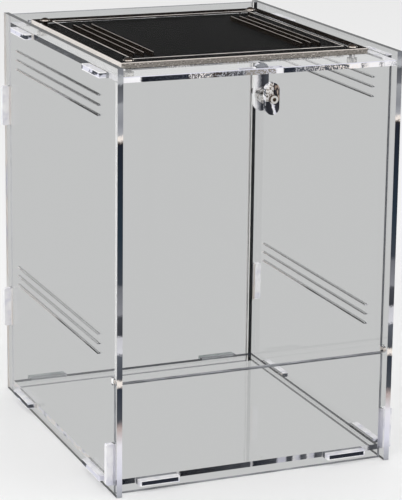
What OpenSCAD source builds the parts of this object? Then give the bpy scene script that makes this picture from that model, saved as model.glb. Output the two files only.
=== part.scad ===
// Clear flat-pack terrarium: tabbed acrylic sheets, a fold-down door with a turn latch, and a vent in the top.
// X runs across the front, Y from the front to the back, Z up. The origin is the bottom centre of the whole part.

/* [Case] */
// Width over the outer faces of the two sides
case_width = 210; // [170:1:320]
// Depth of the two sides, front edge to back edge
case_depth = 250; // [220:1:360]
// Height of the two sides
case_height = 300; // [250:1:450]
// Thickness of every clear sheet
sheet = 4; // [3:0.5:5]
// From the front edge of the sides to the front face of the door
front_recess = 7; // [6:0.5:12]
// From the back edge of the sides to the back face of the back sheet
back_recess = 7; // [6:0.5:12]
// From the table to the underside of the base sheet
base_lift = 5; // [3:0.5:12]
// From the rim of the sides down to the top face of the top sheet
top_drop = 6; // [5:0.5:20]
// From the front edge of the sides to the front edge of the top sheet
top_front_inset = 1; // [0.5:0.1:1.5]
// Height of the fixed front sheet under the door
kick_height = 79; // [50:1:110]

/* [Tabs] */
// Length of the tabs that lock the top and base sheets into the sides
long_tab = 36; // [20:1:44]
// Length of all other tabs
short_tab = 30; // [16:1:36]
// How far a tab stands out past the sheet that it goes through
tab_reach = 5; // [2:0.5:5.5]
// Radius on the free corners of a tab
tab_corner = 1; // [0.5:0.25:1.5]
// From the front edge of the sides to the middle of the front long tabs
front_tab_inset = 40; // [34:1:60]
// From the back edge of the sides to the middle of the rear long tabs
rear_tab_inset = 50; // [36:1:70]
// From the outer face of a side to the middle of the nearest tab of the front or back
end_tab_inset = 33; // [26:1:50]
// From the foot or the rim of the sides to the middle of the nearest tab of the back sheet
back_tab_inset = 70; // [40:1:90]
// Height of the middle of the fixed front sheet's side tabs
kick_tab_height = 22; // [20:1:30]
// Gap between a tab and its slot, and between an edge and the face that it meets
fit = 0.1; // [0.05:0.05:0.2]

/* [Vents] */
// Width of a vent slot
vent_width = 1.2; // [0.8:0.1:2]
// Distance between neighbouring vent slots
vent_pitch = 7; // [4:0.5:9]
// Vent slots in one group
vent_count = 3; // [1:1:5]
// From the front edge of a side to its vent slots
vent_front_inset = 38; // [20:1:70]
// From the back edge of a side to its vent slots
vent_rear_inset = 29; // [20:1:70]
// Height of the middle of the lower vent group
low_vent_height = 100; // [80:1:130]
// From the rim of the sides down to the middle of the upper vent group
high_vent_drop = 31.5; // [26:0.5:50]

/* [Vent cover] */
// From the outer face of a side to the edge of the vent cover
cover_side_inset = 13; // [8:1:30]
// From the front edge of the sides to the front edge of the vent cover
cover_front_inset = 28; // [22:1:50]
// From the back edge of the sides to the back edge of the vent cover
cover_rear_inset = 28; // [18:1:50]
// Width of the band where the cover lies on the top sheet, around the vent window
cover_band = 12.5; // [11:0.5:20]
// Length of the vent slots in the cover
cover_vent_length = 127; // [60:1:150]
// From the middle of the case to the middle of a group of cover slots
cover_vent_offset = 63.5; // [20:0.5:66]
// Thickness of the mesh
mesh_thickness = 0.4; // [0.3:0.1:0.8]
// Openings of the mesh along each side
mesh_gaps = 17; // [6:1:17]
// Width of the strands of the mesh
mesh_strand = 1.2; // [0.8:0.1:2]

/* [Cover fasteners] */
// From the edges of the cover to a screw's centre
screw_inset = 8; // [5:0.5:10]
// Diameter of the cover screws' threads
screw_diameter = 4; // [3:0.5:5]
// Diameter of the cover screws' button heads
screw_head_diameter = 7.6; // [6:0.1:9]
// Height of the button heads
screw_head_height = 2.2; // [1.6:0.1:3]
// Length of the cover screws under the head
screw_length = 12; // [11:1:20]
// Size across the flats of the cover nuts
screw_nut_flats = 7; // [6:0.5:8]
// Height of the cover nuts
screw_nut_height = 3.2; // [2:0.1:3.2]

/* [Door] */
// Gap between the door and the sides
door_side_gap = 0.6; // [0.3:0.1:1.5]
// Gap between the door and the top sheet
door_top_gap = 0.7; // [0.4:0.1:2]
// Gap between the fixed front sheet and the circle that the door's lower corners sweep
door_corner_gap = 0.17; // [0.1:0.01:1]
// Radial clearance of the door's square ears in their round holes
ear_clearance = 0.07; // [0.03:0.01:0.1]

/* [Latch] */
// From the underside of the top sheet down to the latch's axis
latch_drop = 14; // [13:0.5:20]
// Width of the catch and of the handle
bar_width = 10; // [8:0.5:14]
// How far the catch stands above the top sheet
catch_rise = 3.5; // [1:0.5:8]
// How far the catch reaches below the latch's axis
catch_tail = 11.5; // [7:0.5:16]
// Length of the handle
handle_length = 22; // [16:1:40]
// Diameter of the round spacer
spacer_diameter = 11; // [8:0.5:14]
// Length of the round spacer
spacer_length = 14; // [6:0.5:24]
// Diameter of the latch bolt's thread
bolt_diameter = 3; // [2.5:0.5:4]
// Length of the latch bolt under the head
bolt_length = 30; // [28:1:50]
// Diameter of the bolt's head
bolt_head_diameter = 5.5; // [5:0.1:8]
// Height of the bolt's head
bolt_head_height = 3; // [2:0.1:5]
// Size across the flats of the bolt's socket
bolt_socket = 2.5; // [1.5:0.5:3]
// Diameter of the washer inside the door
washer_diameter = 7; // [6:0.5:12]
// Thickness of the washer
washer_thickness = 0.5; // [0.3:0.1:1.5]
// Size across the flats of the domed nut
nut_flats = 5.5; // [5:0.5:8]
// Height of the domed nut's hex
nut_hex_height = 2.4; // [2:0.1:4]
// Radius of the domed nut's dome
nut_dome_radius = 2.5; // [2.3:0.1:3.5]
// Radial clearance of the bolt in the door
bolt_clearance = 0.08; // [0.03:0.01:0.1]
// Gap between the latch and the faces of the door
latch_gap = 0.1; // [0.05:0.05:0.3]
// Gap between the catch and its slot in the top sheet
catch_clearance = 0.3; // [0.2:0.05:0.5]

/* [Hidden] */
$fn = 48;
clear = [0.86, 0.89, 0.89, 0.35];
steel = [0.78, 0.77, 0.75];
black = [0.1, 0.1, 0.1];
// How far a tab is sunk into its own sheet where it is drawn
tab_root = 1;
// Room between a thread and the nut on it
thread_gap = 0.02;
// The mesh stops this far inside the cover's edge
mesh_inset = 1;
// Chamfer on the ends of the round spacer
spacer_chamfer = 0.8;
// Straight neck between the domed nut's hex and its dome
nut_neck = 1.6;
// Depth of the sockets in the screws and the bolt, as a share of the head
socket_share = 0.6;
// Size across the flats of the cover screws' sockets
screw_socket = 2.5;
// The bolt stops this far short of the bottom of the domed nut's bore
bore_end = 0.5;

// How far the latch stands out in front of the sides
latch_reach = 2 * sheet + spacer_length + bolt_head_height + latch_gap - front_recess;
front = (latch_reach - case_depth) / 2;
rear = front + case_depth;
side = case_width / 2;
inner = side - sheet;
door_y = front + front_recess;
back_y = rear - back_recess - sheet;
base_mid = base_lift + sheet / 2;
top_face = case_height - top_drop;
top_under = top_face - sheet;
top_mid = top_face - sheet / 2;
// A tab crosses the gap and the mating sheet, and stands out past it
tab_length = fit + sheet + tab_reach;
long_tab_y = [front + front_tab_inset, rear - rear_tab_inset];
end_tab_x = side - end_tab_inset;
back_tab_z = [back_tab_inset, case_height - back_tab_inset];

// The door's square ears turn about the middle of the sheet
ear_radius = sheet / sqrt(2);
door_bottom = kick_height + ear_radius - sheet / 2 + door_corner_gap;
door_top = top_under - door_top_gap;
hinge_y = door_y + sheet / 2;
hinge_z = door_bottom + sheet / 2;

cover_x = side - cover_side_inset;
cover_y = [front + cover_front_inset, rear - cover_rear_inset];
cover_middle = (cover_y[0] + cover_y[1]) / 2;
cover_size = [2 * cover_x, cover_y[1] - cover_y[0]];
window_size = cover_size - 2 * [cover_band, cover_band];
cover_bottom = top_face + mesh_thickness;
cover_top = cover_bottom + sheet;

// The latch's pieces follow each other from the door's front face forwards, and from its back face inwards
latch_z = top_under - latch_drop;
catch_back = door_y - latch_gap;
catch_front = catch_back - sheet;
spacer_front = catch_front - spacer_length;
handle_front = spacer_front - sheet;
catch_head = latch_drop + sheet + catch_rise;
washer_front = door_y + sheet + latch_gap;
nut_front = washer_front + washer_thickness;
bolt_end = handle_front + bolt_length;
// Half the length of the slot that the catch's end needs to swing out of the top sheet
catch_slot_half = sqrt(pow(catch_head, 2) - pow(latch_drop, 2)) + catch_clearance;

// Draws a flat shape in the plane of the sides, thickened along X
module upright_side(x) {
    translate([x, 0, 0])
        rotate([90, 0, 90])
            linear_extrude(sheet)
                children();
}

// Draws a flat shape in the plane of the front, thickened from y backwards
module upright_front(y, thickness = sheet) {
    translate([0, y + thickness, 0])
        rotate([90, 0, 0])
            linear_extrude(thickness)
                children();
}

// Draws a flat shape lying down, thickened from z upwards
module lying(z, thickness = sheet) {
    translate([0, 0, z])
        linear_extrude(thickness)
            children();
}

// A tab that grows along +Y from the edge of its sheet, with round free corners
module tab(length) {
    translate([-length / 2, -tab_root])
        square([length, tab_root + tab_length - tab_corner]);
    translate([tab_corner - length / 2, -tab_root])
        square([length - 2 * tab_corner, tab_root + tab_length]);
    for (end = [-1, 1])
        translate([end * (length / 2 - tab_corner), tab_length - tab_corner])
            circle(tab_corner);
}

// The slot that a tab goes through
module mortise(length) {
    square([length + 2 * fit, sheet + 2 * fit], center = true);
}

// A bar with round ends, along X from one end to the other
module round_bar(from, to, width) {
    translate([from + width / 2, -width / 2])
        square([to - from - width, width]);
    for (x = [from + width / 2, to - width / 2])
        translate([x, 0])
            circle(width / 2);
}

// A group of vent slots, along X, side by side around y = 0
module vent_group(from, to) {
    for (i = [0 : vent_count - 1])
        translate([0, (i - (vent_count - 1) / 2) * vent_pitch])
            round_bar(from, to, vent_width);
}

// Puts its children on each of the four cover screws
module at_cover_screws() {
    for (x = [screw_inset - cover_x, cover_x - screw_inset])
        for (y = [cover_y[0] + screw_inset, cover_y[1] - screw_inset])
            translate([x, y])
                children();
}

// A hexagon by its size across the flats
module hexagon(flats) {
    circle(flats / sqrt(3), $fn = 6);
}

// A round hole for a cover screw
module screw_hole() {
    circle(screw_diameter / 2 + fit);
}

// The outline of both sides, with every opening in them
module side_outline() {
    difference() {
        translate([front, 0])
            square([case_depth, case_height]);
        for (y = long_tab_y)
            for (z = [base_mid, top_mid])
                translate([y, z])
                    mortise(long_tab);
        for (z = back_tab_z)
            translate([back_y + sheet / 2, z])
                rotate(90)
                    mortise(short_tab);
        translate([door_y + sheet / 2, kick_tab_height])
            rotate(90)
                mortise(short_tab);
        translate([hinge_y, hinge_z])
            circle(ear_radius + ear_clearance);
        for (z = [low_vent_height, case_height - high_vent_drop])
            translate([0, z])
                vent_group(front + vent_front_inset, rear - vent_rear_inset);
    }
}

module left_panel() {
    color(clear)
        upright_side(-side)
            side_outline();
}

module right_panel() {
    color(clear)
        upright_side(inner)
            side_outline();
}

// The long tabs of a lying sheet, on both sides
module side_tabs() {
    for (way = [-1, 1])
        for (y = long_tab_y)
            translate([way * (inner - fit), y])
                rotate(-90 * way)
                    tab(long_tab);
}

// The tabs of a lying sheet that go through the back sheet
module back_tabs() {
    for (way = [-1, 1])
        translate([way * end_tab_x, back_y - fit])
            tab(short_tab);
}

// The slots in an upright sheet for the tabs of a lying one
module end_mortises(z) {
    for (way = [-1, 1])
        translate([way * end_tab_x, z])
            mortise(short_tab);
}

module back_panel() {
    color(clear)
        upright_front(back_y)
            difference() {
                union() {
                    translate([fit - inner, 0])
                        square([2 * (inner - fit), case_height]);
                    for (way = [-1, 1])
                        for (z = back_tab_z)
                            translate([way * (inner - fit), z])
                                rotate(-90 * way)
                                    tab(short_tab);
                }
                end_mortises(base_mid);
                end_mortises(top_mid);
            }
}

module base_panel() {
    base_front = door_y + sheet + fit;
    color(clear)
        lying(base_lift) {
            translate([fit - inner, base_front])
                square([2 * (inner - fit), back_y - fit - base_front]);
            side_tabs();
            back_tabs();
            for (way = [-1, 1])
                translate([way * end_tab_x, base_front])
                    rotate(180)
                        tab(short_tab);
        }
}

module kick_panel() {
    color(clear)
        upright_front(door_y)
            difference() {
                union() {
                    translate([fit - inner, 0])
                        square([2 * (inner - fit), kick_height]);
                    for (way = [-1, 1])
                        translate([way * (inner - fit), kick_tab_height])
                            rotate(-90 * way)
                                tab(short_tab);
                }
                end_mortises(base_mid);
            }
}

module top_panel() {
    top_front = front + top_front_inset;
    color(clear)
        lying(top_under)
            difference() {
                union() {
                    translate([fit - inner, top_front])
                        square([2 * (inner - fit), back_y - fit - top_front]);
                    side_tabs();
                    back_tabs();
                }
                translate([0, cover_middle])
                    square(window_size, center = true);
                at_cover_screws()
                    screw_hole();
                translate([-catch_slot_half, catch_front - catch_clearance])
                    square([2 * catch_slot_half, sheet + 2 * catch_clearance]);
            }
}

module mesh_screen() {
    pitch = window_size / mesh_gaps;
    gap = pitch - [mesh_strand, mesh_strand];
    color(black)
        lying(top_face, mesh_thickness)
            difference() {
                translate([0, cover_middle])
                    square(cover_size - 2 * [mesh_inset, mesh_inset], center = true);
                translate([0, cover_middle] - window_size / 2)
                    for (i = [0 : mesh_gaps - 1])
                        for (j = [0 : mesh_gaps - 1])
                            translate([(i + 0.5) * pitch[0], (j + 0.5) * pitch[1]])
                                square(gap, center = true);
                at_cover_screws()
                    screw_hole();
            }
}

module vent_cover() {
    color(clear)
        lying(cover_bottom)
            difference() {
                translate([0, cover_middle])
                    square(cover_size, center = true);
                at_cover_screws()
                    screw_hole();
                for (x = [-cover_vent_offset, cover_vent_offset])
                    translate([x, cover_middle])
                        rotate(90)
                            vent_group(-cover_vent_length / 2, cover_vent_length / 2);
            }
}

// A domed button head on a shank, with a hexagon socket
module button_screw() {
    dome_radius = (pow(screw_head_height, 2) + pow(screw_head_diameter / 2, 2)) / (2 * screw_head_height);
    socket_depth = socket_share * screw_head_height;
    translate([0, 0, -screw_length])
        cylinder(d = screw_diameter, h = screw_length);
    difference() {
        intersection() {
            cylinder(d = screw_head_diameter, h = screw_head_height);
            translate([0, 0, screw_head_height - dome_radius])
                sphere(dome_radius);
        }
        translate([0, 0, screw_head_height - socket_depth])
            linear_extrude(socket_depth + screw_head_height)
                hexagon(screw_socket);
    }
}

module cover_screws() {
    color(steel)
        translate([0, 0, cover_top])
            at_cover_screws()
                button_screw();
}

module cover_nuts() {
    color(steel)
        at_cover_screws()
            lying(top_under - screw_nut_height, screw_nut_height)
                difference() {
                    hexagon(screw_nut_flats);
                    circle(screw_diameter / 2 + thread_gap);
                }
}

module door() {
    ear_outer = side - inner + door_side_gap;
    color(clear)
        upright_front(door_y)
            difference() {
                union() {
                    translate([door_side_gap - inner, door_bottom])
                        square([2 * (inner - door_side_gap), door_top - door_bottom]);
                    for (x = [-side, inner - door_side_gap - tab_root])
                        translate([x, door_bottom])
                            square([ear_outer + tab_root, sheet]);
                }
                translate([0, latch_z])
                    circle(bolt_diameter / 2 + bolt_clearance);
            }
}

// The outline of a flat piece of the latch, with its bolt hole
module latch_bar(below, above) {
    translate([0, latch_z])
        difference() {
            rotate(90)
                round_bar(-below, above, bar_width);
            circle(bolt_diameter / 2 + fit);
        }
}

// Turns a round piece drawn up from z = 0 to lie along the latch's axis, from y backwards
module on_latch_axis(y) {
    translate([0, y, latch_z])
        rotate([-90, 0, 0])
            children();
}

module latch_catch() {
    color(clear)
        upright_front(catch_front)
            latch_bar(catch_tail, catch_head);
}

module latch_spacer() {
    radius = spacer_diameter / 2;
    bore = bolt_diameter / 2 + fit;
    color(steel)
        on_latch_axis(spacer_front)
            rotate_extrude()
                polygon([[bore, 0], [radius - spacer_chamfer, 0], [radius, spacer_chamfer],
                    [radius, spacer_length - spacer_chamfer], [radius - spacer_chamfer, spacer_length],
                    [bore, spacer_length]]);
}

module latch_handle() {
    color(clear)
        upright_front(handle_front)
            latch_bar(handle_length / 2, handle_length / 2);
}

module latch_bolt() {
    socket_depth = socket_share * bolt_head_height;
    color(steel)
        on_latch_axis(handle_front) {
            cylinder(d = bolt_diameter, h = bolt_length);
            difference() {
                translate([0, 0, -bolt_head_height])
                    cylinder(d = bolt_head_diameter, h = bolt_head_height);
                translate([0, 0, -2 * bolt_head_height])
                    linear_extrude(bolt_head_height + socket_depth)
                        hexagon(bolt_socket);
            }
        }
}

module latch_washer() {
    color(steel)
        on_latch_axis(washer_front)
            difference() {
                cylinder(d = washer_diameter, h = washer_thickness);
                translate([0, 0, -washer_thickness])
                    cylinder(r = bolt_diameter / 2 + fit, h = 3 * washer_thickness);
            }
}

module latch_nut() {
    bore_depth = bolt_end + bore_end - nut_front;
    color(black)
        on_latch_axis(nut_front)
            difference() {
                union() {
                    linear_extrude(nut_hex_height)
                        hexagon(nut_flats);
                    cylinder(r = nut_dome_radius, h = nut_hex_height + nut_neck);
                    translate([0, 0, nut_hex_height + nut_neck])
                        sphere(nut_dome_radius);
                }
                translate([0, 0, -nut_hex_height])
                    cylinder(r = bolt_diameter / 2 + thread_gap, h = nut_hex_height + bore_depth);
            }
}

left_panel();
right_panel();
back_panel();
base_panel();
kick_panel();
top_panel();
mesh_screen();
vent_cover();
cover_screws();
cover_nuts();
door();
latch_catch();
latch_spacer();
latch_handle();
latch_bolt();
latch_washer();
latch_nut();
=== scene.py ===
import math

import bmesh
import bpy
from mathutils import Matrix, Vector


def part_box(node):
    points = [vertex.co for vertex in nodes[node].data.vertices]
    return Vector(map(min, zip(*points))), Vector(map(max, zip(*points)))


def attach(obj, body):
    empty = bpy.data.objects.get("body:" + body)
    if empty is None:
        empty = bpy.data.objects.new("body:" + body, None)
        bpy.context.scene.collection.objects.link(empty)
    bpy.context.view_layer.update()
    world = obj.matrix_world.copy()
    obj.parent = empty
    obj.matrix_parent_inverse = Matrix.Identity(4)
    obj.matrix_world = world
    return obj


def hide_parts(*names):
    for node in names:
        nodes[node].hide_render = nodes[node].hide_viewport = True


MM = 0.001
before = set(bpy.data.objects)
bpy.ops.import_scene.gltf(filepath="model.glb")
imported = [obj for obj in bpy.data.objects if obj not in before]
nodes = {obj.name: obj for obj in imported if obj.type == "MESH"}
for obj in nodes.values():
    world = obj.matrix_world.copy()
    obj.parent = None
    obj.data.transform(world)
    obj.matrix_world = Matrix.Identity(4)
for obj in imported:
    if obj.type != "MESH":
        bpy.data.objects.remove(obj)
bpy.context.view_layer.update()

# The camera stands left of the front and above the lid
CAMERA_PLACE = Vector((-0.5794, -1.39915, 0.5509))
CAMERA_AZIMUTH = math.radians(22.617)
CAMERA_DOWN = math.radians(13.913)
CAMERA_ROLL = math.radians(0.704)
FOCAL_PIXELS = 2119.4
IMAGE_SIZE = (402, 500)
# Row of the picture that lies on the camera's axis
CENTRE_ROW = 200
# Width of the camera's sensor in millimetres, and how far it sees in metres
SENSOR = 36
CAMERA_REACH = 50

# How far the floor lies below the case, and half its width
FLOOR_DROP = 0.2 * MM
FLOOR_HALF = 6.0

# Wire mesh: the spacing and thickness of its wires. The wires of the real mesh are too fine to tell apart
# in the picture, so these are coarser and further apart
MESH_PITCH = 1.25 * MM
WIRE = 0.33 * MM

# Distance from the case's side to the middle of the nearest tab in its front or back
END_TAB_INSET = 33 * MM
# Places on the case, from its nodes' boxes. The right side sheet lies between sheet_reach and case_side
case_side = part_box("right_panel")[1].x
case_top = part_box("right_panel")[1].z
sheet_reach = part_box("right_panel")[0].x
side_middle = (case_side + sheet_reach) / 2
end_tab_place = case_side - END_TAB_INSET
top_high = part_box("top_panel")[1].z
cover_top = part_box("vent_cover")[1].z
# A place that is past the case on every axis
BEYOND = 2 * case_top


def colour(code):
    """A linear colour from an sRGB hex code."""
    parts = [int(code[i:i + 2], 16) / 255 for i in (1, 3, 5)]
    return tuple(p / 12.92 if p <= 0.04045 else ((p + 0.055) / 1.055) ** 2.4 for p in parts) + (1.0,)


def add(tree, kind, inputs=None, **settings):
    """A new shader node. An input is a value, or a socket to link to it. Stops are a ramp's colours."""
    made = tree.nodes.new(kind)
    stops = settings.pop("stops", ())
    for name, value in settings.items():
        setattr(made, name, value)
    for count, (place, code) in enumerate(stops):
        marks = made.color_ramp.elements
        mark = marks[count] if count < 2 else marks.new(place)
        mark.position = place
        mark.color = colour(code)
    for key, value in (inputs or {}).items():
        if isinstance(value, bpy.types.NodeSocket):
            tree.links.new(value, made.inputs[key])
        else:
            made.inputs[key].default_value = value
    return made


def new_material(name):
    """An empty material with its output node."""
    mat = bpy.data.materials.new(name)
    mat.use_nodes = True
    mat.node_tree.nodes.clear()
    return mat, mat.node_tree, add(mat.node_tree, "ShaderNodeOutputMaterial")


def stretched_coords(tree, sizes):
    """Object coordinates counted in pattern cells of the given sizes in metres."""
    where = add(tree, "ShaderNodeTexCoord")
    return add(tree, "ShaderNodeVectorMath", {0: where.outputs["Object"], 1: [1 / s for s in sizes]},
               operation="MULTIPLY").outputs[0]


# A noise texture seldom leaves this range
NOISE_LOW = 0.3
NOISE_HIGH = 0.7


def mottle(tree, sizes, detail=2.0):
    """A random pattern between 0 and 1, with cells of the given sizes in metres."""
    spots = add(tree, "ShaderNodeTexNoise", {"Vector": stretched_coords(tree, sizes), "Scale": 1.0,
                                             "Detail": detail})
    return add(tree, "ShaderNodeMapRange", {"Value": spots.outputs["Fac"], "From Min": NOISE_LOW,
                                            "From Max": NOISE_HIGH}).outputs[0]


def stretches(tree, sizes, stops):
    """Tones that change in uneven stretches of the given sizes in metres."""
    return add(tree, "ShaderNodeValToRGB", {0: mottle(tree, sizes)}, stops=stops).outputs[0]


def place_along(tree, axis):
    """The object coordinate along an axis, in metres."""
    where = add(tree, "ShaderNodeSeparateXYZ", {0: add(tree, "ShaderNodeTexCoord").outputs["Object"]})
    return where.outputs[axis]


def looks_along(tree, axis):
    """1 on faces that look along an axis, either way, and 0 on the others."""
    normal = add(tree, "ShaderNodeSeparateXYZ", {0: add(tree, "ShaderNodeTexCoord").outputs["Normal"]})
    size = add(tree, "ShaderNodeMath", {0: normal.outputs[axis]}, operation="ABSOLUTE").outputs[0]
    return add(tree, "ShaderNodeMath", {0: size, 1: 0.5}, operation="GREATER_THAN").outputs[0]


def looks_toward(tree, axis, way):
    """1 on faces that look one way (-1 or 1) along an axis, also where light meets them from inside."""
    normal = add(tree, "ShaderNodeSeparateXYZ", {0: add(tree, "ShaderNodeTexCoord").outputs["Normal"]})
    inside = add(tree, "ShaderNodeNewGeometry").outputs["Backfacing"]
    # The normal is turned round on a face that is met from inside, and this turns it back
    outward = add(tree, "ShaderNodeMath", {0: inside, 1: -2 * way, 2: way}, operation="MULTIPLY_ADD")
    turned = add(tree, "ShaderNodeMath", {0: normal.outputs[axis], 1: outward.outputs[0]},
                 operation="MULTIPLY")
    return add(tree, "ShaderNodeMath", {0: turned.outputs[0], 1: 0.5}, operation="GREATER_THAN").outputs[0]


def between(tree, axis, low, high):
    """1 where the object coordinate along an axis lies between two places."""
    return add(tree, "ShaderNodeMath", {0: place_along(tree, axis), 1: (low + high) / 2,
                                        2: (high - low) / 2}, operation="COMPARE").outputs[0]


# Size of the unevenness of the borders between an edge's tones
BORDER_CELL = 1.2 * MM


def share_of_length(tree, axis, low, high, waver=0.0):
    """0 to 1 from one place to another along an axis, with the borders between tones a little uneven."""
    share = add(tree, "ShaderNodeMapRange", {"Value": place_along(tree, axis), "From Min": low,
                                             "From Max": high}).outputs[0]
    uneven = mottle(tree, [BORDER_CELL] * 3)
    return add(tree, "ShaderNodeMath", {0: uneven, 1: waver, 2: share}, operation="MULTIPLY_ADD").outputs[0]


# Cast acrylic sheet: the faces are polished and hardly show. A cut edge gathers what the sheet carries along
# inside it; that light and shade is painted on the edges as long stretches of near black, grey and white,
# with laser striations
CLEAR = "#FEFEFE"
NIGHT = "#1C212C"
SMOKE = "#4A4D54"
STEEL_GREY = "#74767C"
MIST = "#A4A6AC"
LILAC = "#DCDCE8"
PEARL = "#F4F3F6"
CREAM = "#F4EBE4"
TAUPE = "#8E8983"
UMBER = "#3B322D"
# Cast acrylic has an IOR of 1.49. The sheets mirror far less of the studio than that gives, and the top and
# its cover, which lie almost edge on to the eye, mirror nothing, so the IOR is brought down to match
SHEET_IOR = 1.18
FAINT_IOR = 1.005
# Width of the cover's band around the vent window, and of the painted bright line of the window's rim, along
# X and Y
COVER_BAND = 12.5 * MM
RIM_LINE = (0.8 * MM, 1.6 * MM)
EDGE_ROUGHNESS = 0.12
# How solid, as a share, the cut edges and the tabs look, so that the light and shade painted on them shows
EDGE_SOLID = 0.9
TAB_SOLID = 0.72
# Tint of the light that passes a sheet on its way to another surface
SHADOW_TINT = "#F2F2F2"
# Width of the painted bright and dark lines beside the right edge of the back sheet
CORNER_LINES = 4 * MM
# Share of painted white sheen on the top sheet beside its cover
TOP_SHEEN = 0.25
# Width of the painted dark line that each wall of a vent shows
VENT_LINE = 1.3 * MM
# Length of the painted bright front end of the top's side edges
FRONT_GLOW = 22 * MM
# Half height and half length of the painted dark core of a lying tab's end
TAB_CORE = 1.4 * MM
TAB_CORE_HALF = 13.6 * MM
# Spacing of the striations, and how many times longer they are. Real ones are too fine to show, so these
# are coarser
STRIATION = 0.7 * MM
STRIATION_LENGTH = 6
STRIATION_DETAIL = 4.0
STRIATION_DEPTH = 0.04 * MM
# Depth of the painted bright line along the top of the top's front edge and of the cover's
RIM_DEPTH = 0.6 * MM
# Depth of the painted highlight on the lip of a slot wall of the cover
LIP_DEPTH = 0.25 * MM
# Where the catch's edges turn to a painted white highlight, left of its middle
CATCH_WHITE = 4.5 * MM
# Slope of the handle's painted light and dark bands, and how far below its middle they are centred
BAND_SLOPE = 0.35
BAND_DROP = 6 * MM


def acrylic(name, thin_axis, edge_tone, tabs=None, tab_middle=None, ior=SHEET_IOR, face=None, shown=None):
    """Clear sheet whose broad faces look along thin_axis (0, 1 or 2), with light and shade painted on its
    edges and tabs.

    edge_tone, tabs, face and shown are functions of the node tree. They give the edges' painted light and
    shade, 1 on the tabs, the faces' colour with its painted light and how solid it is, and 1 where the edges
    show. tab_middle is the middle height of a lying sheet.
    """
    mat, tree, out = new_material(name)
    edge = add(tree, "ShaderNodeMath", {0: 1.0, 1: looks_along(tree, thin_axis)},
               operation="SUBTRACT").outputs[0]
    sizes = [STRIATION] * 3
    sizes[thin_axis] = STRIATION_LENGTH * STRIATION
    lines = mottle(tree, sizes, STRIATION_DETAIL)
    rough = add(tree, "ShaderNodeMath", {0: edge, 1: EDGE_ROUGHNESS}, operation="MULTIPLY").outputs[0]
    relief = add(tree, "ShaderNodeBump", {"Strength": edge, "Distance": STRIATION_DEPTH, "Height": lines})
    broad_tint, broad_solid = face(tree) if face else (colour(CLEAR), 0.0)
    if shown:
        edge = add(tree, "ShaderNodeMath", {0: edge, 1: shown(tree)}, operation="MULTIPLY").outputs[0]
    tint = add(tree, "ShaderNodeMix", {0: edge, 6: broad_tint, 7: edge_tone(tree)},
               data_type="RGBA").outputs[2]
    solid = add(tree, "ShaderNodeMapRange", {"Value": edge, "To Min": broad_solid, "To Max": EDGE_SOLID})
    solid = solid.outputs[0]
    if tabs:
        # Painted light and shade on the tabs, solid enough to show
        on_tab = tabs(tree)
        tint = add(tree, "ShaderNodeMix", {0: on_tab, 6: tint, 7: tab_tone(tree, thin_axis, tab_middle)},
                   data_type="RGBA").outputs[2]
        tab_paint_share = add(tree, "ShaderNodeMath", {0: on_tab, 1: TAB_SOLID}, operation="MULTIPLY").outputs[0]
        solid = add(tree, "ShaderNodeMath", {0: solid, 1: tab_paint_share}, operation="MAXIMUM").outputs[0]
    open_share = add(tree, "ShaderNodeMath", {0: 1.0, 1: solid}, operation="SUBTRACT").outputs[0]
    sheet = add(tree, "ShaderNodeBsdfPrincipled", {
        "Base Color": tint, "Roughness": rough, "Transmission Weight": open_share, "IOR": ior,
        "Normal": relief.outputs[0]})
    in_shadow = add(tree, "ShaderNodeBsdfTransparent", {"Color": colour(SHADOW_TINT)})
    path = add(tree, "ShaderNodeLightPath")
    mixed = add(tree, "ShaderNodeMixShader", {0: path.outputs["Is Shadow Ray"], 1: sheet.outputs[0],
                                              2: in_shadow.outputs[0]})
    tree.links.new(mixed.outputs[0], out.inputs["Surface"])
    return mat


def tab_tone(tree, thin_axis, middle):
    """Tabs are painted with light, white and lilac. Lying ones have painted shade: grey at the rear, with a
    dark core in their ends.
    """
    cells = [9 * MM] * 3
    cells[thin_axis] = 1.5 * MM
    painted_tab_tone = stretches(tree, cells, ((0.0, LILAC), (1.0, "#FFFFFF"), (0.5, PEARL)))
    if middle is None:
        return painted_tab_tone
    rear = between(tree, 1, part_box("back_panel")[0].y, BEYOND)
    greyed = stretches(tree, cells, ((0.0, "#8E9796"), (1.0, "#B4BABA")))
    painted_tab_tone = add(tree, "ShaderNodeMix", {0: rear, 6: painted_tab_tone, 7: greyed}, data_type="RGBA").outputs[2]
    core = between(tree, thin_axis, middle - TAB_CORE, middle + TAB_CORE)
    across = add(tree, "ShaderNodeMath", {0: place_along(tree, 0)}, operation="ABSOLUTE").outputs[0]
    inner = add(tree, "ShaderNodeMath", {0: across, 1: end_tab_place, 2: TAB_CORE_HALF}, operation="COMPARE")
    side = side_tabs(tree)
    inner = add(tree, "ShaderNodeMath", {0: inner.outputs[0], 1: side}, operation="MAXIMUM").outputs[0]
    core = add(tree, "ShaderNodeMath", {0: core, 1: inner}, operation="MULTIPLY").outputs[0]
    patch = stretches(tree, [9 * MM, 14 * MM, 9 * MM],
                      ((0.0, NIGHT), (1.0, LILAC), (0.5, SMOKE), (0.6, LILAC)))
    dark = add(tree, "ShaderNodeMix", {0: side, 6: colour("#262A34"), 7: patch}, data_type="RGBA").outputs[2]
    end = add(tree, "ShaderNodeMath", {0: core, 1: looks_along(tree, thin_axis)}, operation="GREATER_THAN")
    return add(tree, "ShaderNodeMix", {0: end.outputs[0], 6: painted_tab_tone, 7: dark}, data_type="RGBA").outputs[2]


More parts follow.
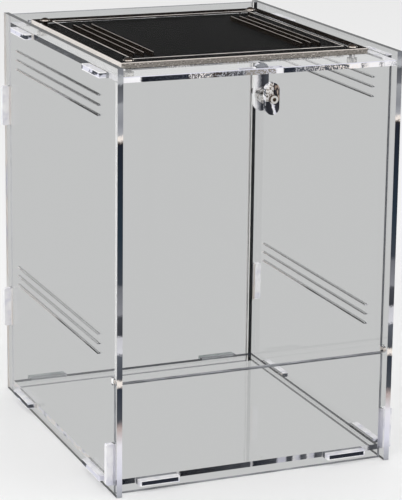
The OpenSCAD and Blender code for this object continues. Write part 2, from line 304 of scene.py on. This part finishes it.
def side_tone(tree):
    """Painted light and shade on the sides' edges: the front edges change by height, the rear ones are pale,
    and rims and vents are near black.
    """
    tall = add(tree, "ShaderNodeValToRGB", {0: share_of_length(tree, 2, 0, case_top, 0.006)}, stops=(
        (0.0, MIST), (1.0, "#7D7F85"), (0.06, LILAC), (0.13, "#E6E4EA"), (0.17, "#B9A9A6"), (0.19, SMOKE),
        (0.268, "#2E3440"), (0.272, CREAM), (0.282, CREAM), (0.288, SMOKE), (0.345, "#5A5E66"),
        (0.35, "#D4D4DA"), (0.388, "#C6C6CC"), (0.393, "#3A3C42"), (0.436, "#44464C"), (0.442, "#85868C"),
        (0.505, "#6A6C72"), (0.512, "#3A3F48"), (0.62, "#23303C"), (0.832, NIGHT), (0.838, UMBER),
        (0.842, CREAM), (0.85, CREAM), (0.856, MIST), (0.88, "#8A8C92"),
        (0.925, "#9A9CA0"), (0.93, "#6A6C72"), (0.965, "#55575C"), (0.97, "#B4B6BA"), (0.986, "#A5A7AB"),
        (0.99, "#7D7F85"))).outputs[0]
    rim = between(tree, 2, case_top - MM, case_top + MM)
    level = add(tree, "ShaderNodeMix", {0: rim, 6: colour("#1C1D20"), 7: colour("#3A3B3E")},
                data_type="RGBA").outputs[2]
    behind = between(tree, 1, 0, BEYOND)
    rear = stretches(tree, [9 * MM, 9 * MM, 40 * MM], ((0.0, LILAC), (1.0, "#FFFFFF"), (0.4, CREAM)))
    tall = add(tree, "ShaderNodeMix", {0: behind, 6: tall, 7: rear}, data_type="RGBA").outputs[2]
    return add(tree, "ShaderNodeMix", {0: looks_along(tree, 2), 6: tall, 7: level},
               data_type="RGBA").outputs[2]


def side_edges_shown(tree):
    """0 on the walls of the vents beside their middle line, which stay as clear as the faces."""
    across = add(tree, "ShaderNodeMath", {0: place_along(tree, 0)}, operation="ABSOLUTE").outputs[0]
    line = add(tree, "ShaderNodeMath", {0: across, 1: side_middle, 2: VENT_LINE / 2},
               operation="COMPARE").outputs[0]
    vents = add(tree, "ShaderNodeMath", {0: looks_along(tree, 2), 1: between(tree, 2, MM, case_top - MM)},
                operation="MULTIPLY").outputs[0]
    clear = add(tree, "ShaderNodeMath", {0: vents, 1: line}, operation="GREATER_THAN").outputs[0]
    return add(tree, "ShaderNodeMath", {0: 1.0, 1: clear}, operation="SUBTRACT").outputs[0]


def back_tone(tree):
    """Painted light and shade on the back sheet's edges: the left edge is pale, the right edge is near black
    and the rim is grey.
    """
    tall = stretches(tree, [9 * MM, 9 * MM, 40 * MM], ((0.0, "#0C0D10"), (1.0, UMBER)))
    tall = add(tree, "ShaderNodeMix", {0: between(tree, 0, -BEYOND, 0), 6: tall, 7: colour("#D0D0D4")},
               data_type="RGBA").outputs[2]
    level = stretches(tree, [30 * MM, 3 * MM, 3 * MM], ((0.0, SMOKE), (1.0, MIST)))
    return add(tree, "ShaderNodeMix", {0: looks_along(tree, 2), 6: tall, 7: level},
               data_type="RGBA").outputs[2]


def back_face(tree):
    """The right edge of the back sheet shows beside itself as a painted bright line and a broader painted
    near-black one.
    """
    across = share_of_length(tree, 0, sheet_reach - CORNER_LINES, sheet_reach)
    lines = add(tree, "ShaderNodeValToRGB", {0: across}, stops=(
        (0.0, CLEAR), (1.0, "#2A2B2E"), (0.02, "#FFFFFF"), (0.22, "#FFFDFA"), (0.3, "#1A1B1E"))).outputs[0]
    share = add(tree, "ShaderNodeMath", {0: across, 1: 0.01}, operation="GREATER_THAN").outputs[0]
    patches = mottle(tree, [9 * MM, 9 * MM, 30 * MM])
    uneven = add(tree, "ShaderNodeMapRange", {"Value": patches, "To Min": 0.85, "To Max": 1.0}).outputs[0]
    return lines, add(tree, "ShaderNodeMath", {0: share, 1: uneven}, operation="MULTIPLY").outputs[0]


def door_tone(tree):
    """Painted light and shade on the door's edges: the left edge is a white painted highlight, the right edge
    dark and the level edges grey.
    """
    left = between(tree, 0, -case_side, 0)
    tall = add(tree, "ShaderNodeMix", {0: left, 6: colour(SMOKE), 7: colour("#FFFFFF")},
               data_type="RGBA").outputs[2]
    level = stretches(tree, [20 * MM, 9 * MM, 9 * MM], ((0.0, SMOKE), (1.0, MIST)))
    return add(tree, "ShaderNodeMix", {0: looks_along(tree, 2), 6: tall, 7: level},
               data_type="RGBA").outputs[2]


def kick_tone(tree):
    """The fixed front sheet's edges are grey, in patches of painted light and shade."""
    return stretches(tree, [20 * MM, 9 * MM, 20 * MM], ((0.0, SMOKE), (1.0, MIST)))


def base_tone(tree):
    """Painted light and shade on the base's edges: the front edge is near black with bright breaks, the left
    one speckled, the others dark.
    """
    along = share_of_length(tree, 0, -sheet_reach, sheet_reach, 0.004)
    front = add(tree, "ShaderNodeValToRGB", {0: along}, stops=(
        (0.0, SMOKE), (1.0, STEEL_GREY), (0.02, NIGHT), (0.068, SMOKE), (0.07, PEARL), (0.23, PEARL),
        (0.236, "#14161C"), (0.5, SMOKE), (0.505, PEARL), (0.512, NIGHT), (0.6, SMOKE), (0.61, LILAC),
        (0.638, LILAC), (0.642, SMOKE), (0.663, SMOKE), (0.667, PEARL), (0.69, LILAC), (0.697, SMOKE),
        (0.718, STEEL_GREY), (0.722, PEARL), (0.747, LILAC), (0.752, SMOKE), (0.78, STEEL_GREY),
        (0.785, PEARL), (0.96, PEARL), (0.968, SMOKE))).outputs[0]
    rear = stretches(tree, [40 * MM, 90 * MM, 40 * MM], ((0.0, NIGHT), (1.0, SMOKE)))
    level = add(tree, "ShaderNodeMix", {0: between(tree, 1, 0, BEYOND), 6: front, 7: rear},
                data_type="RGBA").outputs[2]
    speckled = stretches(tree, [9 * MM, 12 * MM, 4 * MM], (
        (0.0, SMOKE), (1.0, "#FFFFFF"), (0.08, MIST), (0.2, LILAC), (0.5, PEARL), (0.7, CREAM)))
    side = add(tree, "ShaderNodeMix", {0: between(tree, 0, 0, BEYOND), 6: speckled, 7: colour("#26282E")},
               data_type="RGBA").outputs[2]
    return add(tree, "ShaderNodeMix", {0: looks_along(tree, 0), 6: level, 7: side},
               data_type="RGBA").outputs[2]


def top_tone(tree):
    """Painted light and shade on the top's edges: the front edge changes by stretches under a painted bright
    line, the side edges are near black with a bright front end.
    """
    along = share_of_length(tree, 0, -sheet_reach, sheet_reach, 0.004)
    deep = add(tree, "ShaderNodeValToRGB", {0: along}, stops=(
        (0.0, PEARL), (1.0, MIST), (0.062, PEARL), (0.068, "#14161C"), (0.232, NIGHT), (0.238, UMBER),
        (0.31, STEEL_GREY), (0.32, UMBER), (0.435, SMOKE), (0.44, TAUPE), (0.548, TAUPE), (0.552, PEARL),
        (0.574, PEARL), (0.578, NIGHT), (0.618, NIGHT), (0.622, SMOKE), (0.82, SMOKE), (0.824, PEARL),
        (0.866, PEARL), (0.87, SMOKE), (0.9, PEARL), (0.935, PEARL), (0.94, NIGHT), (0.96, PEARL))).outputs[0]
    light = add(tree, "ShaderNodeValToRGB", {0: along}, stops=(
        (0.0, PEARL), (1.0, PEARL), (0.062, PEARL), (0.068, "#22242C"), (0.232, SMOKE), (0.238, PEARL),
        (0.31, CREAM), (0.32, MIST), (0.435, MIST), (0.44, MIST), (0.548, LILAC), (0.552, PEARL),
        (0.574, PEARL), (0.578, NIGHT), (0.618, SMOKE), (0.622, MIST), (0.82, CREAM))).outputs[0]
    speckle = add(tree, "ShaderNodeMath", {0: mottle(tree, [0.9 * MM] * 3), 1: 0.6}, operation="GREATER_THAN")
    front = add(tree, "ShaderNodeMix", {0: speckle.outputs[0], 6: deep, 7: light},
                data_type="RGBA").outputs[2]
    rim = between(tree, 2, top_high - RIM_DEPTH, top_high + MM)
    front = add(tree, "ShaderNodeMix", {0: rim, 6: front, 7: colour(LILAC)}, data_type="RGBA").outputs[2]
    side = stretches(tree, [9 * MM, 24 * MM, 9 * MM], ((0.0, "#0E1015"), (1.0, SMOKE), (0.7, NIGHT)))
    near_front = between(tree, 1, -BEYOND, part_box("top_panel")[0].y + FRONT_GLOW)
    side = add(tree, "ShaderNodeMix", {0: near_front, 6: side, 7: colour(PEARL)}, data_type="RGBA").outputs[2]
    return add(tree, "ShaderNodeMix", {0: looks_along(tree, 0), 6: front, 7: side},
               data_type="RGBA").outputs[2]


def top_face(tree):
    """Beside the cover the top sheet has a painted white sheen on its upper face."""
    low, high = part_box("vent_cover")
    across = between(tree, 0, low.x, high.x)
    along = between(tree, 1, low.y, high.y)
    under = add(tree, "ShaderNodeMath", {0: across, 1: along}, operation="MULTIPLY").outputs[0]
    sheen = add(tree, "ShaderNodeMapRange", {"Value": under, "To Min": TOP_SHEEN, "To Max": 0.0}).outputs[0]
    share = add(tree, "ShaderNodeMath", {0: sheen, 1: looks_toward(tree, 2, 1)}, operation="MULTIPLY")
    return colour(CLEAR), share.outputs[0]


def cover_tone(tree):
    """Painted light and shade on the cover's edges: the left side is a cream painted highlight, the front is
    speckled under a painted bright line, the rest is dark.
    """
    low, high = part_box("vent_cover")
    speckle = stretches(tree, [1.5 * MM, MM, 0.8 * MM],
                        ((0.0, UMBER), (1.0, CREAM), (0.35, TAUPE), (0.75, TAUPE)))
    rim = between(tree, 2, cover_top - RIM_DEPTH, cover_top + MM)
    front = add(tree, "ShaderNodeMix", {0: rim, 6: speckle, 7: colour(CREAM)}, data_type="RGBA").outputs[2]
    inner = stretches(tree, [2 * MM, 2 * MM, MM], ((0.0, "#171412"), (1.0, UMBER), (0.7, "#211D1A")))
    front = add(tree, "ShaderNodeMix", {0: between(tree, 1, low.y + MM, BEYOND), 6: front, 7: inner},
                data_type="RGBA").outputs[2]
    lip = between(tree, 2, cover_top - LIP_DEPTH, cover_top + MM)
    lit = add(tree, "ShaderNodeMath", {0: lip, 1: looks_toward(tree, 0, -1)}, operation="MULTIPLY").outputs[0]
    slot_wall = add(tree, "ShaderNodeMix", {0: lit, 6: inner, 7: colour(CREAM)}, data_type="RGBA").outputs[2]
    inward = between(tree, 0, low.x + MM, BEYOND)
    side = add(tree, "ShaderNodeMix", {0: inward, 6: colour("#FFF8F2"), 7: slot_wall},
               data_type="RGBA").outputs[2]
    return add(tree, "ShaderNodeMix", {0: looks_along(tree, 0), 6: front, 7: side},
               data_type="RGBA").outputs[2]


def cover_face(tree):
    """The rim of the vent window shows through the cover as a painted highlight: a thin bright line on its
    upper face, broken by the mesh.
    """
    line = None
    low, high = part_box("vent_cover")
    for axis in (0, 1):
        middle = (low[axis] + high[axis]) / 2
        half = (high[axis] - low[axis]) / 2 - COVER_BAND
        far = add(tree, "ShaderNodeMath", {0: place_along(tree, axis), 1: middle}, operation="SUBTRACT")
        far = add(tree, "ShaderNodeMath", {0: far.outputs[0]}, operation="ABSOLUTE").outputs[0]
        near = add(tree, "ShaderNodeMath", {0: far, 1: half, 2: RIM_LINE[axis] / 2},
                   operation="COMPARE").outputs[0]
        other = 1 - axis
        reach = between(tree, other, low[other] + COVER_BAND, high[other] - COVER_BAND)
        part = add(tree, "ShaderNodeMath", {0: near, 1: reach}, operation="MULTIPLY").outputs[0]
        line = part if line is None else add(tree, "ShaderNodeMath", {0: line, 1: part},
                                             operation="MAXIMUM").outputs[0]
    uneven = add(tree, "ShaderNodeMapRange", {"Value": mottle(tree, [14 * MM] * 3), "To Min": 0.55,
                                              "To Max": 0.95}).outputs[0]
    share = add(tree, "ShaderNodeMath", {0: line, 1: uneven}, operation="MULTIPLY").outputs[0]
    share = add(tree, "ShaderNodeMath", {0: share, 1: looks_toward(tree, 2, 1)},
                operation="MULTIPLY").outputs[0]
    tint = add(tree, "ShaderNodeMix", {0: share, 6: colour(CLEAR), 7: colour(CREAM)}, data_type="RGBA")
    return tint.outputs[2], share


def latch_tone(tree):
    """Painted light and shade on the catch's and the handle's edges: near black and white in patches, and a
    white painted highlight on the catch's left.
    """
    patch = stretches(tree, [2.5 * MM, 9 * MM, 3 * MM],
                      ((0.0, NIGHT), (1.0, PEARL), (0.4, SMOKE), (0.5, MIST), (0.7, PEARL)))
    catch = between(tree, 1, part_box("latch_catch")[0].y - MM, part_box("latch_catch")[1].y + MM)
    left = between(tree, 0, -BEYOND, -CATCH_WHITE)
    white = add(tree, "ShaderNodeMath", {0: catch, 1: left}, operation="MULTIPLY").outputs[0]
    return add(tree, "ShaderNodeMix", {0: white, 6: patch, 7: colour("#FFFFFF")}, data_type="RGBA").outputs[2]


def catch_face(tree):
    """Painted light and shade on the catch's faces: below the top sheet bright on the left and dark on the
    right, and grey above it.
    """
    low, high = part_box("latch_catch")
    across = share_of_length(tree, 0, low.x, high.x, 0.1)
    bands = add(tree, "ShaderNodeValToRGB", {0: across}, stops=(
        (0.0, "#FFFFFF"), (1.0, SMOKE), (0.2, PEARL), (0.32, MIST), (0.55, "#33343B"),
        (0.9, SMOKE))).outputs[0]
    below = between(tree, 2, low.z - MM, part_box("top_panel")[0].z)
    share = add(tree, "ShaderNodeMapRange", {"Value": below, "To Min": 0.35, "To Max": 0.8}).outputs[0]
    tint = add(tree, "ShaderNodeMix", {0: below, 6: colour(MIST), 7: bands}, data_type="RGBA")
    return tint.outputs[2], share


def handle_face(tree):
    """Painted light and shade on the handle: above the bolt, painted glints on its left and painted shade on
    its right; below it, painted bands.
    """
    low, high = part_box("latch_handle")
    slanted = add(tree, "ShaderNodeMath", {0: place_along(tree, 2), 1: BAND_SLOPE, 2: place_along(tree, 0)},
                  operation="MULTIPLY_ADD").outputs[0]
    middle = (low.z + high.z) / 2
    lean = BAND_SLOPE * (middle - BAND_DROP)
    across = add(tree, "ShaderNodeMapRange", {"Value": slanted, "From Min": low.x + lean,
                                              "From Max": high.x + lean}).outputs[0]
    uneven = add(tree, "ShaderNodeMath", {0: mottle(tree, [1.5 * MM] * 3), 1: 0.12, 2: across},
                 operation="MULTIPLY_ADD").outputs[0]
    bands = add(tree, "ShaderNodeValToRGB", {0: uneven}, stops=(
        (0.0, SMOKE), (1.0, "#2C2D34"), (0.1, "#26272D"), (0.5, "#2C2D34"), (0.56, PEARL), (0.7, LILAC),
        (0.76, "#33343B"))).outputs[0]
    below = between(tree, 2, low.z - MM, middle - 1.5 * MM)
    share = add(tree, "ShaderNodeMapRange", {"Value": below, "To Min": 0.6, "To Max": 0.85}).outputs[0]
    glints = stretches(tree, [1.2 * MM] * 3, (
        (0.0, UMBER), (1.0, "#FFFFFF"), (0.3, TAUPE), (0.45, CREAM), (0.7, "#FFFFFF")))
    shade = stretches(tree, [1.1 * MM, 9 * MM, 3.5 * MM], (
        (0.0, NIGHT), (1.0, "#CBBBB0"), (0.5, "#2C2D34"), (0.62, "#9A8878")))
    above = add(tree, "ShaderNodeMix", {0: between(tree, 0, 0.5 * MM, high.x + MM), 6: glints, 7: shade},
                data_type="RGBA").outputs[2]
    tint = add(tree, "ShaderNodeMix", {0: below, 6: above, 7: bands}, data_type="RGBA")
    return tint.outputs[2], share


def side_tabs(tree):
    """1 on the tabs that stand out past the case's sides."""
    inside = between(tree, 0, -case_side, case_side)
    return add(tree, "ShaderNodeMath", {0: 1.0, 1: inside}, operation="SUBTRACT").outputs[0]


def all_tabs(tree):
    """1 on the tabs that stand out past the case's sides, front or back."""
    inside = between(tree, 1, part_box("kick_panel")[0].y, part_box("back_panel")[1].y)
    ends = add(tree, "ShaderNodeMath", {0: 1.0, 1: inside}, operation="SUBTRACT").outputs[0]
    return add(tree, "ShaderNodeMath", {0: side_tabs(tree), 1: ends}, operation="MAXIMUM").outputs[0]


def stainless(name, stops, roughness, grain):
    """Turned stainless steel with painted reflections: bright and dark patches in its colour as it mirrors
    the studio, and faint tool marks.
    """
    mat, tree, out = new_material(name)
    marks = mottle(tree, [grain] * 3, 3.0)
    rough = add(tree, "ShaderNodeMapRange", {"Value": marks, "To Min": roughness * 0.7,
                                             "To Max": roughness * 1.4})
    painted_reflections = stretches(tree, [5 * grain] * 3, stops)
    shine = add(tree, "ShaderNodeBsdfPrincipled", {"Base Color": painted_reflections, "Metallic": 1.0,
                                                   "Roughness": rough.outputs[0]})
    tree.links.new(shine.outputs[0], out.inputs["Surface"])
    return mat


def screw_steel(name):
    """Stainless button heads with painted reflections: dark crowns over a bright lower rim, with bright
    shanks below.
    """
    mat, tree, out = new_material(name)
    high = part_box("cover_screws")[1].z
    tall = add(tree, "ShaderNodeMapRange", {"Value": place_along(tree, 2), "From Min": cover_top,
                                            "From Max": high})
    marks = mottle(tree, [0.9 * MM] * 3, 3.0)
    height = add(tree, "ShaderNodeMath", {0: marks, 1: 0.25, 2: tall.outputs[0]}, operation="MULTIPLY_ADD")
    tone = add(tree, "ShaderNodeValToRGB", {0: height.outputs[0]}, stops=(
        (0.0, "#E9E2DC"), (1.0, "#2A2420"), (0.3, "#CFC6BE"), (0.5, "#4A3F38"))).outputs[0]
    shine = add(tree, "ShaderNodeBsdfPrincipled", {"Base Color": tone, "Metallic": 1.0, "Roughness": 0.22})
    tree.links.new(shine.outputs[0], out.inputs["Surface"])
    return mat


# Depth below the bolt head's face at which the shade of the socket and the sides begins
SOCKET_SHADE = 0.25 * MM


def bolt_steel(name):
    """Stainless cap screw: a turned face painted with a bright highlight, around a socket and sides painted
    with brown shade.
    """
    mat, tree, out = new_material(name)
    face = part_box("latch_bolt")[0].y
    ring = between(tree, 1, face - MM, face + SOCKET_SHADE)
    # Painted shade in brown patches on the socket and the sides
    marks = stretches(tree, [1.2 * MM] * 3, ((0.0, UMBER), (1.0, "#A8927C"), (0.5, "#5E4C3F")))
    tone = add(tree, "ShaderNodeMix", {0: ring, 6: marks, 7: colour("#FFFBF6")}, data_type="RGBA").outputs[2]
    shine = add(tree, "ShaderNodeBsdfPrincipled", {"Base Color": tone, "Metallic": 1.0, "Roughness": 0.35})
    tree.links.new(shine.outputs[0], out.inputs["Surface"])
    return mat


def black_coat(name, code, mirror, roughness, cell):
    """Steel under a black finish, whose roughness wanders between two values over cells of one size."""
    mat, tree, out = new_material(name)
    marks = add(tree, "ShaderNodeTexNoise", {"Vector": stretched_coords(tree, [cell] * 3), "Scale": 1.0})
    rough = add(tree, "ShaderNodeMapRange", {"Value": marks.outputs["Fac"], "To Min": roughness[0],
                                             "To Max": roughness[1]})
    coat = add(tree, "ShaderNodeBsdfPrincipled", {"Base Color": colour(code), "Specular IOR Level": mirror,
                                                  "Roughness": rough.outputs[0]})
    tree.links.new(coat.outputs[0], out.inputs["Surface"])
    return mat


def dress(node, mat):
    """Gives a CAD node its material."""
    mesh = nodes[node].data
    mesh.materials.clear()
    mesh.materials.append(mat)


def finished(name, bm, mat, body):
    """Makes a bmesh a piece that rides on a body."""
    mesh = bpy.data.meshes.new(name)
    bm.to_mesh(mesh)
    bm.free()
    mesh.materials.append(mat)
    piece = bpy.data.objects.new(name, mesh)
    bpy.context.scene.collection.objects.link(piece)
    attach(piece, body)
    return piece


def one_wire(along, length, crossings, wave, parity):
    """A mesh of one wire through the origin, up at every other crossing and down between them."""
    bm = bmesh.new()
    bmesh.ops.create_cone(bm, segments=4, radius1=WIRE / 2, radius2=WIRE / 2, depth=length, cap_ends=True)
    sides = [e for e in bm.edges if abs(e.verts[0].co.z - e.verts[1].co.z) > length / 2]
    bmesh.ops.subdivide_edges(bm, edges=sides, cuts=crossings - 1)
    for v in bm.verts:
        step = round((v.co.z / length + 0.5) * crossings)
        v.co.x += wave if (step + parity) % 2 else -wave
    # The wire was made upright with its wave along X, and is laid down with its wave upright
    turn = Matrix.Rotation(math.pi / 2, 3, "Y")
    if along == 1:
        turn = Matrix.Rotation(math.pi / 2, 3, "Z") @ turn
    bmesh.ops.rotate(bm, verts=bm.verts, cent=(0, 0, 0), matrix=turn)
    bmesh.ops.recalc_face_normals(bm, faces=bm.faces)
    mesh = bpy.data.meshes.new("wire")
    bm.to_mesh(mesh)
    bm.free()
    return mesh


def woven_wires(along, across, name, mat):
    """All wires of the mesh in one direction; each goes over and under the wires that cross it."""
    low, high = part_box("mesh_screen")
    length = high[along] - low[along]
    crossings = round(length / MESH_PITCH)
    count = round((high[across] - low[across]) / MESH_PITCH)
    wave = (high.z - low.z - WIRE) / 2
    patterns = [one_wire(along, length, crossings, wave, (parity + along) % 2) for parity in (0, 1)]
    bm = bmesh.new()
    for i in range(count):
        before = len(bm.verts)
        bm.from_mesh(patterns[i % 2])
        place = (low + high) / 2
        place[across] = low[across] + (i + 0.5) * (high[across] - low[across]) / count
        bmesh.ops.translate(bm, verts=list(bm.verts)[before:], vec=place)
    return finished(name, bm, mat, "case")


# What rays through or off the sheets see of the background, by height from level (0) to straight up (1):
# one grey low down, dark between two heights, and bright overhead
SEEN_THROUGH = "#C3C4C4"
SKY_DARK = 0.015
SKY_BRIGHT = 1.3
GREY_UP_TO = 0.42
DARK_HEIGHTS = (0.48, 0.6)
BRIGHT_FROM = 0.8
BACKGROUND = "#F0F0F0"
# Strength of the background as a light on what isn't clear
SOFT_LIGHT = 0.9
# Name, place and power of each lamp, and what all lamps share
LAMPS = (("left_softbox", (-1.6, -0.9, 1.5), 14), ("right_softbox", (1.5, -1.2, 1.8), 7))
LAMP_SIZE = 1.2
LAMP_AIM = Vector((0, 0, 0.15))


def dome(tree):
    """The background by height, as rays through or off the sheets see it."""
    up = add(tree, "ShaderNodeSeparateXYZ", {0: add(tree, "ShaderNodeTexCoord").outputs["Generated"]})
    ramp = add(tree, "ShaderNodeValToRGB", {0: up.outputs["Z"]})
    stops = ramp.color_ramp.elements
    stops[0].position = GREY_UP_TO
    stops[0].color = colour(SEEN_THROUGH)
    stops[1].position = BRIGHT_FROM
    stops[1].color = (SKY_BRIGHT, SKY_BRIGHT, SKY_BRIGHT, 1)
    for height in DARK_HEIGHTS:
        stop = stops.new(height)
        stop.color = (SKY_DARK, SKY_DARK, SKY_DARK, 1)
    return add(tree, "ShaderNodeBackground", {"Color": ramp.outputs[0], "Strength": 1.0})


def floor_and_lights():
    """A pale floor and background, which look grey through and off the sheets, and two soft lamps."""
    bpy.ops.mesh.primitive_plane_add(size=2 * FLOOR_HALF, location=(0, 0, -FLOOR_DROP))
    floor = bpy.context.object
    floor.name = "floor"
    mat, tree, out = new_material("pale_floor")
    matt = add(tree, "ShaderNodeBsdfDiffuse", {"Color": colour(BACKGROUND)})
    plain = add(tree, "ShaderNodeEmission", {"Color": colour(SEEN_THROUGH), "Strength": 1.0})
    path = add(tree, "ShaderNodeLightPath")
    by_sheet = add(tree, "ShaderNodeMath", {0: path.outputs["Is Glossy Ray"],
                                            1: path.outputs["Is Transmission Ray"]}, operation="MAXIMUM")
    mixed = add(tree, "ShaderNodeMixShader", {0: by_sheet.outputs[0], 1: matt.outputs[0],
                                              2: plain.outputs[0]})
    tree.links.new(mixed.outputs[0], out.inputs["Surface"])
    floor.data.materials.append(mat)

    world = bpy.data.worlds.new("light_dome")
    bpy.context.scene.world = world
    world.use_nodes = True
    tree = world.node_tree
    tree.nodes.clear()
    path = add(tree, "ShaderNodeLightPath")
    by_sheet = dome(tree)
    seen = add(tree, "ShaderNodeBackground", {"Color": colour(BACKGROUND), "Strength": 1.0})
    soft = add(tree, "ShaderNodeBackground", {"Color": (1, 1, 1, 1), "Strength": SOFT_LIGHT})
    shown = seen
    for kind, light in (("Is Diffuse Ray", soft), ("Is Transmission Ray", by_sheet),
                        ("Is Glossy Ray", by_sheet)):
        shown = add(tree, "ShaderNodeMixShader", {0: path.outputs[kind], 1: shown.outputs[0],
                                                  2: light.outputs[0]})
    end = add(tree, "ShaderNodeOutputWorld")
    tree.links.new(shown.outputs[0], end.inputs["Surface"])

    for name, place, power in LAMPS:
        lamp = bpy.data.lights.new(name, "AREA")
        lamp.energy = power
        lamp.size = LAMP_SIZE
        holder = bpy.data.objects.new(name, lamp)
        holder.location = place
        holder.rotation_euler = (LAMP_AIM - Vector(place)).to_track_quat("-Z", "Y").to_euler()
        bpy.context.scene.collection.objects.link(holder)


def camera():
    """The photograph's viewpoint."""
    data = bpy.data.cameras.new("camera")
    data.sensor_fit = "AUTO"
    data.sensor_width = SENSOR
    longest = max(IMAGE_SIZE)
    data.lens = FOCAL_PIXELS * SENSOR / longest
    data.shift_y = (CENTRE_ROW - IMAGE_SIZE[1] / 2) / longest
    data.clip_end = CAMERA_REACH
    holder = bpy.data.objects.new("camera", data)
    ahead = Vector((math.sin(CAMERA_AZIMUTH) * math.cos(CAMERA_DOWN),
                    math.cos(CAMERA_AZIMUTH) * math.cos(CAMERA_DOWN), -math.sin(CAMERA_DOWN)))
    right = ahead.cross(Vector((0, 0, 1))).normalized()
    above = right.cross(ahead)
    turned_right = right * math.cos(CAMERA_ROLL) + above * math.sin(CAMERA_ROLL)
    turned_above = above * math.cos(CAMERA_ROLL) - right * math.sin(CAMERA_ROLL)
    axes = Matrix((turned_right, turned_above, -ahead)).transposed()
    holder.matrix_world = Matrix.Translation(CAMERA_PLACE) @ axes.to_4x4()
    bpy.context.scene.collection.objects.link(holder)
    bpy.context.scene.camera = holder


side_sheet = acrylic("acrylic_sheet_side", 0, side_tone, shown=side_edges_shown)
back_sheet = acrylic("acrylic_sheet_back", 1, back_tone, side_tabs, face=back_face)
base_middle = (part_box("base_panel")[0].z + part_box("base_panel")[1].z) / 2
top_middle = (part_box("top_panel")[0].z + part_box("top_panel")[1].z) / 2
door_sheet = acrylic("acrylic_sheet_door", 1, door_tone)
kick_sheet = acrylic("acrylic_sheet_kick", 1, kick_tone, side_tabs)
catch_sheet = acrylic("acrylic_latch_catch", 1, latch_tone, face=catch_face)
handle_sheet = acrylic("acrylic_latch_handle", 1, latch_tone, face=handle_face)
base_sheet = acrylic("acrylic_sheet_base", 2, base_tone, all_tabs, base_middle)
top_sheet = acrylic("acrylic_sheet_top", 2, top_tone, side_tabs, top_middle, FAINT_IOR, face=top_face)
cover_sheet = acrylic("acrylic_sheet_cover", 2, cover_tone, ior=FAINT_IOR, face=cover_face)
for node, sheet in (("left_panel", side_sheet), ("right_panel", side_sheet), ("back_panel", back_sheet),
                    ("door", door_sheet), ("kick_panel", kick_sheet), ("latch_catch", catch_sheet),
                    ("latch_handle", handle_sheet), ("base_panel", base_sheet), ("top_panel", top_sheet),
                    ("vent_cover", cover_sheet)):
    dress(node, sheet)
# Painted reflections on the nuts and the washer: grey and bright patches
bright_steel = stainless("stainless_fasteners", ((0.0, STEEL_GREY), (1.0, "#EEEAE4")), 0.22, 0.4 * MM)
for node in ("cover_nuts", "latch_washer"):
    dress(node, bright_steel)
dress("cover_screws", screw_steel("stainless_button_heads"))
dress("latch_bolt", bolt_steel("stainless_cap_screw"))
# Painted reflections on the spacer: dark, taupe, grey and white facets
spacer_steel = stainless("turned_spacer", (
    (0.0, "#2E2925"), (1.0, "#FFFFFF"), (0.22, TAUPE), (0.35, "#E8E2DC"), (0.55, "#FFFFFF"),
    (0.62, STEEL_GREY), (0.75, "#FFFCF8")), 0.3, 0.5 * MM)
dress("latch_spacer", spacer_steel)
# Black oxide, glossy
dress("latch_nut", black_coat("black_nut", "#0E0E10", 0.3, (0.15, 0.3), 0.5 * MM))

# Black epoxy, half matt
wire = black_coat("coated_wire", "#060606", 0.1, (0.35, 0.6), 2 * MM)
warp = woven_wires(1, 0, "mesh_warp", wire)
weft = woven_wires(0, 1, "mesh_weft", wire)
for strands in (warp, weft):
    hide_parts("mesh_screen")

floor_and_lights()
camera()
scene = bpy.context.scene
scene.view_settings.view_transform = "Standard"
# Light passes many faces of clear sheet on its way, and bounces between some of them
SHEET_BOUNCES = 32
scene.cycles.max_bounces = SHEET_BOUNCES
scene.cycles.transmission_bounces = SHEET_BOUNCES
scene.cycles.transparent_max_bounces = SHEET_BOUNCES
scene.cycles.glossy_bounces = 12
